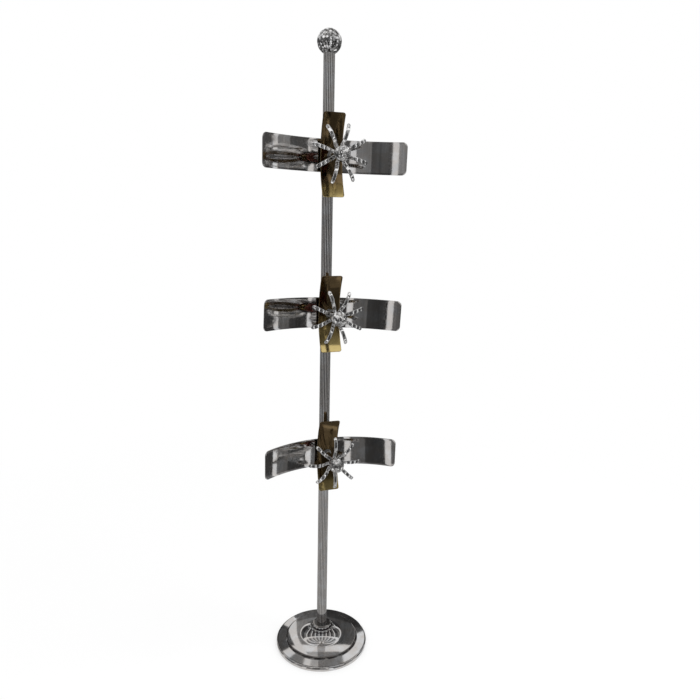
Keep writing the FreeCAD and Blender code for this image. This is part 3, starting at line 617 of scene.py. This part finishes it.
def cross_spot(station):
    """A point of a cross strap: along the bend, up its width, and forward through its thickness."""
    tilt = radians(DROOPS[station])

    def spot(along, across, depth):
        angle = along / CROSS_BEND
        side = (CROSS_BEND - depth) * sin(angle)
        reach = CROSS_CENTRE - (CROSS_BEND - depth) * cos(angle)
        return (side * cos(tilt) + across * sin(tilt), -reach,
                heights[station] - side * sin(tilt) + across * cos(tilt))
    return spot


CROSS_DRILL_REAR, CROSS_DRILL_FRONT = 12 * MM, 24 * MM
strap_chrome = make_chrome("strap_chrome", (0.02, 1, 1), ripple=0.06, lines=0.003, run=(0.35, 1, 1.2))
for station in STATIONS:
    strap = bent_strap(f"{station}_cross_strap_plate", CROSS_LENGTH, CROSS_WIDTH, CROSS_THICK, CROSS_CORNER,
                       cross_spot(station))
    bored(strap, stud_drill(station, stud_bore, CROSS_DRILL_REAR, CROSS_DRILL_FRONT))
    put(strap, strap_chrome, "stand", "strap_chrome", f"{station}_cross_strap")

# ----------------------------------------------------------------------------- spacers and the upright straps
# A turned brass spacer carries the narrower brass strap upright in front of the chrome one. The brass is
# polished but never lacquered; it is brown higher up and gold towards its lower end, painted reflection.

UPRIGHT_LENGTH, UPRIGHT_WIDTH, UPRIGHT_THICK, UPRIGHT_BEND, UPRIGHT_CORNER = (
    185.0 * MM, 50.4 * MM, 2.0 * MM, 179.0 * MM, 5.5 * MM)
UPRIGHT_CENTRE = 204.8 * MM
UPRIGHT_DRILL_REAR, UPRIGHT_DRILL_FRONT = 20 * MM, 32 * MM
# The share of each upright strap's height, from its foot, over which the painted reflection runs from gold to
# brown.
FLOOR_GLEAM_SHARES = {"upper": 0.2, "middle": 0.55, "lower": 0.3}
BRASS_BROWN, BRASS_OLIVE, BRASS_GOLD = (0.155, 0.108, 0.055, 1), (0.34, 0.25, 0.10, 1), (0.60, 0.47, 0.20, 1)


def make_brass(name, stretch, start, end):
    """Unlacquered brass: brown in clouds turns to gold between two heights, a painted reflection of dark
    surroundings above and the pale floor below, with polishing lines.
    """
    finish, tree, shader, place = new_finish(name, 1, 0.2)
    parts = tree.nodes.new("ShaderNodeSeparateXYZ")
    # Painted reflection: the colour runs from brown at the start height to gold at the end height.
    painted_gleam = tree.nodes.new("ShaderNodeMapRange")
    painted_gleam.inputs["From Min"].default_value = start
    painted_gleam.inputs["From Max"].default_value = end
    patchy = tree.nodes.new("ShaderNodeMath")
    patchy.operation = "ADD"
    tree.links.new(place, parts.inputs["Vector"])
    tree.links.new(parts.outputs["Z"], painted_gleam.inputs["Value"])
    tree.links.new(painted_gleam.outputs["Result"], patchy.inputs[0])
    tree.links.new(ranged(tree, cloudy(tree, place, 40, detail=5), -0.12, 0.12), patchy.inputs[1])
    colour = graded(tree, patchy.outputs[0], (0.05, BRASS_BROWN), (0.45, BRASS_OLIVE), (0.9, BRASS_GOLD))
    tree.links.new(colour, shader.inputs["Base Color"])
    lines = cloudy(tree, place, 600, stretch=stretch, detail=3)
    tree.links.new(ranged(tree, lines, 0.05, 0.13), shader.inputs["Roughness"])
    raised(tree, shader, cloudy(tree, place, 26, detail=1), 0.03 * MM)
    raised(tree, shader, lines, 0.0002 * MM)
    return finish


def upright_spot(station):
    """A point of an upright strap: up the bend, across its width, and forward through its thickness."""
    def spot(along, across, depth):
        angle = along / UPRIGHT_BEND
        reach = UPRIGHT_CENTRE - (UPRIGHT_BEND - depth) * cos(angle)
        return (across, -reach, heights[station] + (UPRIGHT_BEND - depth) * sin(angle))
    return spot


# The spacers take the same painted reflection, gold towards the foot of the pole.
turned_brass = make_brass("turned_brass", (1, 1, 1), pole_top, pole_foot)
dress(["strap_spacers"], turned_brass)
for station in STATIONS:
    strap = bent_strap(f"{station}_upright_strap_plate", UPRIGHT_LENGTH, UPRIGHT_WIDTH, UPRIGHT_THICK,
                       UPRIGHT_CORNER, upright_spot(station))
    bored(strap, stud_drill(station, stud_bore, UPRIGHT_DRILL_REAR, UPRIGHT_DRILL_FRONT))
    strap_low, strap_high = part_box(f"{station}_upright_strap")
    strap_brass = make_brass(f"{station}_strap_brass", (1, 1, 0.02),
                             strap_low.z + FLOOR_GLEAM_SHARES[station] * (strap_high.z - strap_low.z), strap_low.z)
    put(strap, strap_brass, "stand", "brass", f"{station}_upright_strap")

# ------------------------------------------------------------------------------------- clamp nuts and sleeves
# A shaped washer and a hexagon nut clamp both straps to the pole. In front of the nut a plain chromed sleeve
# slips over the stud and holds the star away from the straps.

SLEEVE, SLEEVE_EASE = 6.5 * MM, 0.5 * MM
dress(["clamp_washers", *(f"{station}_stud" for station in STATIONS)], zinc_steel)
nut_rear, nut_front = (-corner for corner in (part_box("clamp_nuts")[1].y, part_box("clamp_nuts")[0].y))
clamp_nuts = hexagon_nut("clamp_nuts_in_front", on_stud("upper"), nut_rear, nut_front)
bored(clamp_nuts, stud_drill("upper", 4.0 * MM, nut_rear - MM, nut_front + MM))
put(at_every_station(clamp_nuts, zinc_steel), zinc_steel, "stand", "steel", "clamp_nuts")


def ring_on_stud(name, station, inner, outer, rear, front, ease):
    """A tube or washer on the stud, its outer edges eased."""
    outline = eased([(inner, rear), (outer, rear, ease), (outer, front, ease), (inner, front)])
    return turned(name, outline, 64, on_stud(station))


sleeve_rear, sleeve_front = -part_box("upper_sleeve")[1].y, -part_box("upper_sleeve")[0].y
for station in STATIONS:
    sleeve = ring_on_stud(f"{station}_sleeve_tube", station, stud_bore, SLEEVE,
                          sleeve_rear, sleeve_front, SLEEVE_EASE)
    put(sleeve, small_chrome, "stand", "chrome", f"{station}_sleeve")

# ------------------------------------------------------------------------------------------- washers and bush
# A fibre washer lets the star turn on the sleeve. The star is pressed on a flanged brass bush, and a thin
# chromed washer keeps the knob from turning with it.

FIBRE_DARK, FIBRE_LIGHT = (0.10, 0.022, 0.014, 1), (0.20, 0.05, 0.03, 1)
BUSH_BOSS, BUSH_BARREL, BUSH_BORE = 8.5 * MM, 6.0 * MM, 4.05 * MM
BUSH_BOSS_LENGTH = 6.0 * MM
THRUST_WASHER, KNOB_WASHER = 10 * MM, 9 * MM


def make_fibre():
    finish, tree, shader, place = new_finish("red_fibre", 0, 0.7)
    threads = cloudy(tree, place, 800, stretch=(1, 0.2, 1), detail=5)
    red = graded(tree, threads, (0.35, FIBRE_DARK), (0.65, FIBRE_LIGHT))
    tree.links.new(red, shader.inputs["Base Color"])
    raised(tree, shader, threads, 0.05 * MM)
    return finish


fibre = make_fibre()
thrust_rear, thrust_front = -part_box("thrust_washers")[1].y, -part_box("thrust_washers")[0].y
thrust = ring_on_stud("thrust_washers_of_fibre", "upper", stud_bore, THRUST_WASHER,
                      thrust_rear, thrust_front, 0.2 * MM)
put(at_every_station(thrust, fibre), fibre, "stand", "fibre", "thrust_washers")
lock_rear, lock_front = -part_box("knob_washers")[1].y, -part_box("knob_washers")[0].y
lock = ring_on_stud("knob_washers_thin", "upper", stud_bore, KNOB_WASHER, lock_rear, lock_front, 0.15 * MM)
put(at_every_station(lock, small_chrome), small_chrome, "stand", "chrome", "knob_washers")
bush_rear, bush_front = -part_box("upper_star_bush")[1].y, -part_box("upper_star_bush")[0].y
for station in STATIONS:
    outline = eased([
        (BUSH_BORE, bush_rear),
        (BUSH_BOSS, bush_rear, 0.5 * MM),
        (BUSH_BOSS, bush_rear + BUSH_BOSS_LENGTH, 0.2 * MM),
        (BUSH_BARREL, bush_rear + BUSH_BOSS_LENGTH),
        (BUSH_BARREL, bush_front, 0.2 * MM),
        (BUSH_BORE, bush_front),
    ])
    bush = turned(f"{station}_bush_of_star", outline, 64, on_stud(station))
    put(bush, turned_brass, f"{station}_star", "bush_brass", f"{station}_star_bush")

# ----------------------------------------------------------------------------------------------- finger stars
# Eight fingers pressed from one sheet with their hub: each rises from the hub, arches over and comes down
# to a round end with a hole. They are chromed, and the polish is soft on the edges.

FINGER_COUNT, FINGER_WIDTH, FINGER_THICK, FINGER_REACH = 8, 8.0 * MM, 1.8 * MM, 63.5 * MM
HUB_BORE, HUB = 6.0 * MM, 13.0 * MM
ROOT_BEND, ROOT_RISE = 16.0 * MM, 42
ARCH, ARCH_OUT, ARCH_REACH = 29.7355 * MM, 43.603 * MM, -17.088 * MM
FINGER_HOLE, FINGER_HOLE_INSET = 1.6 * MM, 5.5 * MM
FINGER_EDGE = 0.4 * MM
FINGER_ROWS = 4
CLOCKS = {"upper": 28.5, "middle": 19.0, "lower": 45.0}


def finger_line():
    """The finger's middle line as (out, reach, slope), from inside the hub to the tip."""
    root = (HUB_BORE + HUB) / 2
    line = [(root + (HUB - root) * step / 3, FINGER_THICK / 2, 0.0) for step in range(3)]
    centre = FINGER_THICK / 2 + ROOT_BEND
    for step in range(13):
        angle = radians(ROOT_RISE) * step / 12
        line.append((HUB + ROOT_BEND * sin(angle), centre - ROOT_BEND * cos(angle), angle))
    for step in range(1, 43):
        angle = radians(ROOT_RISE) * (1 - 2 * step / 42)
        line.append((ARCH_OUT - ARCH * sin(angle), ARCH_REACH + ARCH * cos(angle), angle))
    return line


FINGER_DRILL = 20 * MM


def make_finger():
    """One finger, lying along +X and reaching towards -Y, with its round end and its hole."""
    form = bmesh.new()
    centre_of_end = FINGER_REACH - FINGER_WIDTH / 2
    sides = []
    for depth in (-FINGER_THICK / 2, FINGER_THICK / 2):
        side = []
        for out, reach, slope in finger_line():
            half = FINGER_WIDTH / 2
            if out > centre_of_end:
                half = sqrt(max(half * half - (out - centre_of_end) ** 2, (0.9 * MM) ** 2))
            x, y = out - depth * sin(slope), -(reach + depth * cos(slope))
            rows = [half * (2 * row / FINGER_ROWS - 1) for row in range(FINGER_ROWS + 1)]
            side.append([form.verts.new((x, y, across)) for across in rows])
        sides.append(side)
    skin_plate(form, sides, FINGER_EDGE, 2)
    finger = finished("finger", form)
    hole = FINGER_REACH - FINGER_HOLE_INSET

    def through(radius, angle, reach):
        return (hole + radius * cos(angle), -reach, radius * sin(angle))
    outline = [(0, 0), (FINGER_HOLE, 0), (FINGER_HOLE, FINGER_DRILL), (0, FINGER_DRILL)]
    drill = turned("drill", outline, 24, through)
    return bored(finger, drill)


def make_star_tree():
    """A hub with a finger repeated round it, turned to its clock angle and carried to its station."""
    tree = bpy.data.node_groups.new("star_of_fingers", "GeometryNodeTree")
    tree.interface.new_socket("Hub", in_out="INPUT", socket_type="NodeSocketGeometry")
    tree.interface.new_socket("Finger", in_out="INPUT", socket_type="NodeSocketObject")
    tree.interface.new_socket("Fingers", in_out="INPUT", socket_type="NodeSocketInt")
    for name in ("Clock", "Reach", "Height"):
        tree.interface.new_socket(name, in_out="INPUT", socket_type="NodeSocketFloat")
    tree.interface.new_socket("Finish", in_out="INPUT", socket_type="NodeSocketMaterial")
    tree.interface.new_socket("Star", in_out="OUTPUT", socket_type="NodeSocketGeometry")
    link = tree.links.new
    start, end = tree.nodes.new("NodeGroupInput"), tree.nodes.new("NodeGroupOutput")
    points = tree.nodes.new("GeometryNodePoints")
    finger = tree.nodes.new("GeometryNodeObjectInfo")
    number = tree.nodes.new("GeometryNodeInputIndex")
    share = tree.nodes.new("ShaderNodeMath")
    share.operation = "DIVIDE"
    turn = tree.nodes.new("ShaderNodeMath")
    turn.operation = "MULTIPLY"
    turn.inputs[1].default_value = 2 * pi
    spin = tree.nodes.new("ShaderNodeCombineXYZ")
    copies = tree.nodes.new("GeometryNodeInstanceOnPoints")
    link(start.outputs["Fingers"], points.inputs["Count"])
    link(start.outputs["Finger"], finger.inputs["Object"])
    link(number.outputs["Index"], share.inputs[0])
    link(start.outputs["Fingers"], share.inputs[1])
    link(share.outputs[0], turn.inputs[0])
    link(turn.outputs[0], spin.inputs["Y"])
    link(points.outputs["Points"], copies.inputs["Points"])
    link(finger.outputs["Geometry"], copies.inputs["Instance"])
    link(spin.outputs["Vector"], copies.inputs["Rotation"])
    both = tree.nodes.new("GeometryNodeJoinGeometry")
    link(start.outputs["Hub"], both.inputs["Geometry"])
    link(copies.outputs["Instances"], both.inputs["Geometry"])
    clock, where = tree.nodes.new("ShaderNodeCombineXYZ"), tree.nodes.new("ShaderNodeCombineXYZ")
    carry = tree.nodes.new("GeometryNodeTransform")
    link(start.outputs["Clock"], clock.inputs["Y"])
    link(start.outputs["Reach"], where.inputs["Y"])
    link(start.outputs["Height"], where.inputs["Z"])
    link(both.outputs["Geometry"], carry.inputs["Geometry"])
    link(clock.outputs["Vector"], carry.inputs["Rotation"])
    link(where.outputs["Vector"], carry.inputs["Translation"])
    plain = tree.nodes.new("GeometryNodeRealizeInstances")
    painted = tree.nodes.new("GeometryNodeSetMaterial")
    link(carry.outputs["Geometry"], plain.inputs["Geometry"])
    link(plain.outputs["Geometry"], painted.inputs["Geometry"])
    link(start.outputs["Finish"], painted.inputs["Material"])
    link(painted.outputs["Geometry"], end.inputs["Star"])
    return tree


def hub_spot(radius, angle, reach):
    return (radius * cos(angle), -reach, radius * sin(angle))


# The fingers take the paler tones: painted light.
finger_chrome = make_chrome("finger_chrome", (1, 1, 1), ripple=0.02, tones=LIT_TONES)
finger = make_finger()
star_tree = make_star_tree()
for station in STATIONS:
    hub_outline = eased([
        (HUB_BORE, 0),
        (HUB, 0, 0.4 * MM),
        (HUB, FINGER_THICK, 0.4 * MM),
        (HUB_BORE, FINGER_THICK),
    ])
    star = turned(f"{station}_star_of_fingers", hub_outline, 64, hub_spot)
    grown(star, star_tree, finger=finger, fingers=FINGER_COUNT, clock=-radians(CLOCKS[station]),
          reach=-(bush_rear + BUSH_BOSS_LENGTH), height=heights[station], finish=finger_chrome)
    put(star, finger_chrome, f"{station}_star", "finger_chrome", f"{station}_finger_star")
bpy.data.objects.remove(finger)

# ------------------------------------------------------------------------------------------------- ball knobs
# A solid ball, drilled and tapped from its flat seat, screws on the front of the stud and keeps the star on.

KNOB, KNOB_SEAT = 17.5 * MM, 8.0 * MM
knob_seat = -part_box("upper_ball_knob")[1].y
knob_middle = knob_seat + sqrt(KNOB * KNOB - KNOB_SEAT * KNOB_SEAT)
stud_front = -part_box("upper_stud")[0].y
# The knob's crease tone is a lighter painted shade, laid in the creases between its facets.
KNOB_CREASE_SHADE, KNOB_DENT, KNOB_THREAD = (0.62, 0.61, 0.60, 1), 0.9 * MM, 4.0 * MM
knob_chrome = make_ball_chrome("knob_chrome", KNOB_CREASE_SHADE, KNOB_DENT)
seat_angle = asin(KNOB_SEAT / KNOB) * 180 / pi
for station in STATIONS:
    outline = [
        (0, knob_middle + KNOB),
        *bow((0, knob_middle), KNOB, 90, -90 + seat_angle, 40)[1:],
        (KNOB_THREAD, knob_seat),
        (KNOB_THREAD, stud_front),
        (0, stud_front),
    ]
    knob = turned(f"{station}_knob_ball", outline, 80, on_stud(station))
    put(knob, knob_chrome, "stand", "chrome", f"{station}_ball_knob")

# ------------------------------------------------------------------------------------------------- studio set
# A plain pale floor under soft light. Equal sectors round the set, over it and on the floor each hold a dark
# flag, a grey flag and a gap, unseen by the camera, so that polished metal mirrors the white room in streaks.

FLOOR_RADIUS = 30.0
FLOOR_WHITE = (0.86, 0.86, 0.86, 1)
FLOOR_LIFT_NEAR, FLOOR_LIFT_FAR = 0.62, 1.0
FLOOR_NEAR, FLOOR_FAR = 0.25, 1.8
WALL, WALL_SPLIT, WALL_TOP, CEILING_HEIGHT, FLOOR_CARD_HEIGHT = 2.4, 1.2, 2.4, 3.0, 0.0012
SECTORS, DARK_SHARE, GREY_SHARE = 10, 0.50, 0.35
# the two rims of each ring of flags as (radius, height), then its dark and its grey tone
RINGS = (
    ((WALL, 0.0), (WALL, WALL_SPLIT), 0.05, 0.15),
    ((WALL, WALL_SPLIT), (WALL, WALL_TOP), 0.10, 0.30),
    ((0.4, CEILING_HEIGHT), (WALL, CEILING_HEIGHT), 0.25, 0.60),
    ((0.125, FLOOR_CARD_HEIGHT), (1.0, FLOOR_CARD_HEIGHT), 0.20, 0.40),
    ((1.0, FLOOR_CARD_HEIGHT), (WALL, FLOOR_CARD_HEIGHT), 0.05, 0.15),
)


def round_set(angle, radius, height):
    """A point of the set: the angle runs from the front towards the right-hand side."""
    return (radius * sin(radians(angle)), -radius * cos(radians(angle)), height)


def add_card(form, tones, tone, start, end, low, high):
    """One curved card between two angles; low and high are (radius, height) of its two rims."""
    steps = max(2, round((end - start) / 6))
    angles = [start + (end - start) * step / steps for step in range(steps + 1)]
    rims = [[form.verts.new(round_set(angle, *rim)) for angle in angles] for rim in (low, high)]
    for step in range(steps):
        face = form.faces.new((rims[0][step], rims[0][step + 1], rims[1][step + 1], rims[1][step]))
        for loop in face.loops:
            loop[tones] = (tone, tone, tone, 1)


def make_card_paint():
    """Flags show their own grey, broken up softly and in upright streaks."""
    paint = bpy.data.materials.new("card_paint")
    paint.use_nodes = True
    tree = paint.node_tree
    tree.nodes.clear()
    tone = tree.nodes.new("ShaderNodeVertexColor")
    tone.layer_name = "tone"
    glow = tree.nodes.new("ShaderNodeEmission")
    place = tree.nodes.new("ShaderNodeTexCoord").outputs["Object"]
    change = tree.nodes.new("ShaderNodeMath")
    change.operation = "MULTIPLY"
    out = tree.nodes.new("ShaderNodeOutputMaterial")
    soft = cloudy(tree, place, 2.5, stretch=(1, 1, 0.6), detail=6)
    streaks = cloudy(tree, place, 24, stretch=(1, 1, 0.05), detail=3)
    tree.links.new(ranged(tree, soft, 0.75, 1.25), change.inputs[0])
    tree.links.new(ranged(tree, streaks, 0.72, 1.28), change.inputs[1])
    tree.links.new(tone.outputs["Color"], glow.inputs["Color"])
    tree.links.new(change.outputs[0], glow.inputs["Strength"])
    tree.links.new(glow.outputs["Emission"], out.inputs["Surface"])
    return paint


def make_cards():
    form = bmesh.new()
    tones = form.loops.layers.float_color.new("tone")
    sector = 360 / SECTORS
    for low, high, dark, grey in RINGS:
        for start in (sector * count for count in range(SECTORS)):
            grey_start = start + DARK_SHARE * sector
            add_card(form, tones, dark, start, grey_start, low, high)
            add_card(form, tones, grey, grey_start, grey_start + GREY_SHARE * sector, low, high)
    mesh = bpy.data.meshes.new("cards")
    form.to_mesh(mesh)
    form.free()
    cards = bpy.data.objects.new("studio_cards", mesh)
    bpy.context.scene.collection.objects.link(cards)
    cards.data.materials.append(make_card_paint())
    cards.visible_camera = False
    cards.visible_diffuse = False
    cards.visible_shadow = False
    cards.visible_transmission = False


def seen_directly(tree):
    """1 for rays that look at the background straight or in polished metal or glass."""
    path = tree.nodes.new("ShaderNodeLightPath")
    first, second = (tree.nodes.new("ShaderNodeMath") for _ in range(2))
    for step in (first, second):
        step.operation = "MAXIMUM"
    tree.links.new(path.outputs["Is Camera Ray"], first.inputs[0])
    tree.links.new(path.outputs["Is Glossy Ray"], first.inputs[1])
    tree.links.new(first.outputs[0], second.inputs[0])
    tree.links.new(path.outputs["Is Transmission Ray"], second.inputs[1])
    return second.outputs[0]


def make_floor():
    form = bmesh.new()
    bmesh.ops.create_circle(form, cap_ends=True, segments=96, radius=FLOOR_RADIUS)
    mesh = bpy.data.meshes.new("floor")
    form.to_mesh(mesh)
    form.free()
    floor = bpy.data.objects.new("studio_floor", mesh)
    bpy.context.scene.collection.objects.link(floor)
    paint = bpy.data.materials.new("floor_paint")
    paint.use_nodes = True
    tree = paint.node_tree
    shader = tree.nodes["Principled BSDF"]
    shader.inputs["Roughness"].default_value = 1
    shader.inputs["Specular IOR Level"].default_value = 0
    shader.inputs["Base Color"].default_value = FLOOR_WHITE
    glow = tree.nodes.new("ShaderNodeEmission")
    mix = tree.nodes.new("ShaderNodeMixShader")
    share = tree.nodes.new("ShaderNodeMath")
    share.operation = "MULTIPLY"
    length = tree.nodes.new("ShaderNodeVectorMath")
    length.operation = "LENGTH"
    lift = tree.nodes.new("ShaderNodeMapRange")
    lift.inputs["From Min"].default_value = FLOOR_NEAR
    lift.inputs["From Max"].default_value = FLOOR_FAR
    lift.inputs["To Min"].default_value = FLOOR_LIFT_NEAR
    lift.inputs["To Max"].default_value = FLOOR_LIFT_FAR
    tree.links.new(tree.nodes.new("ShaderNodeTexCoord").outputs["Object"], length.inputs[0])
    tree.links.new(length.outputs["Value"], lift.inputs["Value"])
    tree.links.new(seen_directly(tree), share.inputs[0])
    tree.links.new(lift.outputs["Result"], share.inputs[1])
    tree.links.new(share.outputs[0], mix.inputs["Fac"])
    tree.links.new(shader.outputs["BSDF"], mix.inputs[1])
    tree.links.new(glow.outputs["Emission"], mix.inputs[2])
    tree.links.new(mix.outputs["Shader"], tree.nodes["Material Output"].inputs["Surface"])
    floor.data.materials.append(paint)


def make_world():
    world = bpy.data.worlds.new("pale_room")
    bpy.context.scene.world = world
    world.use_nodes = True
    tree = world.node_tree
    tree.nodes.clear()
    white, room = (tree.nodes.new("ShaderNodeBackground") for _ in range(2))
    white.inputs["Color"].default_value = (1, 1, 1, 1)
    room.inputs["Color"].default_value = (0.95, 0.95, 0.95, 1)
    room.inputs["Strength"].default_value = 1
    mix = tree.nodes.new("ShaderNodeMixShader")
    out = tree.nodes.new("ShaderNodeOutputWorld")
    tree.links.new(seen_directly(tree), mix.inputs["Fac"])
    tree.links.new(room.outputs["Background"], mix.inputs[1])
    tree.links.new(white.outputs["Background"], mix.inputs[2])
    tree.links.new(mix.outputs["Shader"], out.inputs["Surface"])


def add_lamp(name, size, watts, spot, target):
    light = bpy.data.lights.new(name, "AREA")
    light.size = size
    light.energy = watts
    lamp = bpy.data.objects.new(name, light)
    lamp.location = spot
    lamp.rotation_euler = (Vector(target) - Vector(spot)).to_track_quat("-Z", "Y").to_euler()
    lamp.visible_glossy = False
    bpy.context.scene.collection.objects.link(lamp)


make_cards()
make_floor()
make_world()
add_lamp("soft_lamp_right", 1.6, 45, (2.0, -1.2, 3.6), (0, 0, 0.2))
add_lamp("soft_lamp_left", 2.2, 20, (-2.2, -1.8, 3.4), (0, 0, 0.6))
bpy.context.scene.view_settings.view_transform = "Standard"

# ----------------------------------------------------------------------------------------------------- camera
# Eye height, a little to the left of the stand and looking slightly down.

camera_data = bpy.data.cameras.new("camera")
camera_data.sensor_width = 36.0
camera_data.lens = 32.30
camera = bpy.data.objects.new("camera", camera_data)
camera.matrix_world = (
    Matrix.Translation((-0.4145, -1.4118, 1.1384))
    @ Matrix.Rotation(-0.3259, 4, "Z")
    @ Matrix.Rotation(pi / 2 - 0.2256, 4, "X")
    @ Matrix.Rotation(0.0226, 4, "Z")
)
bpy.context.scene.collection.objects.link(camera)
bpy.context.scene.camera = camera
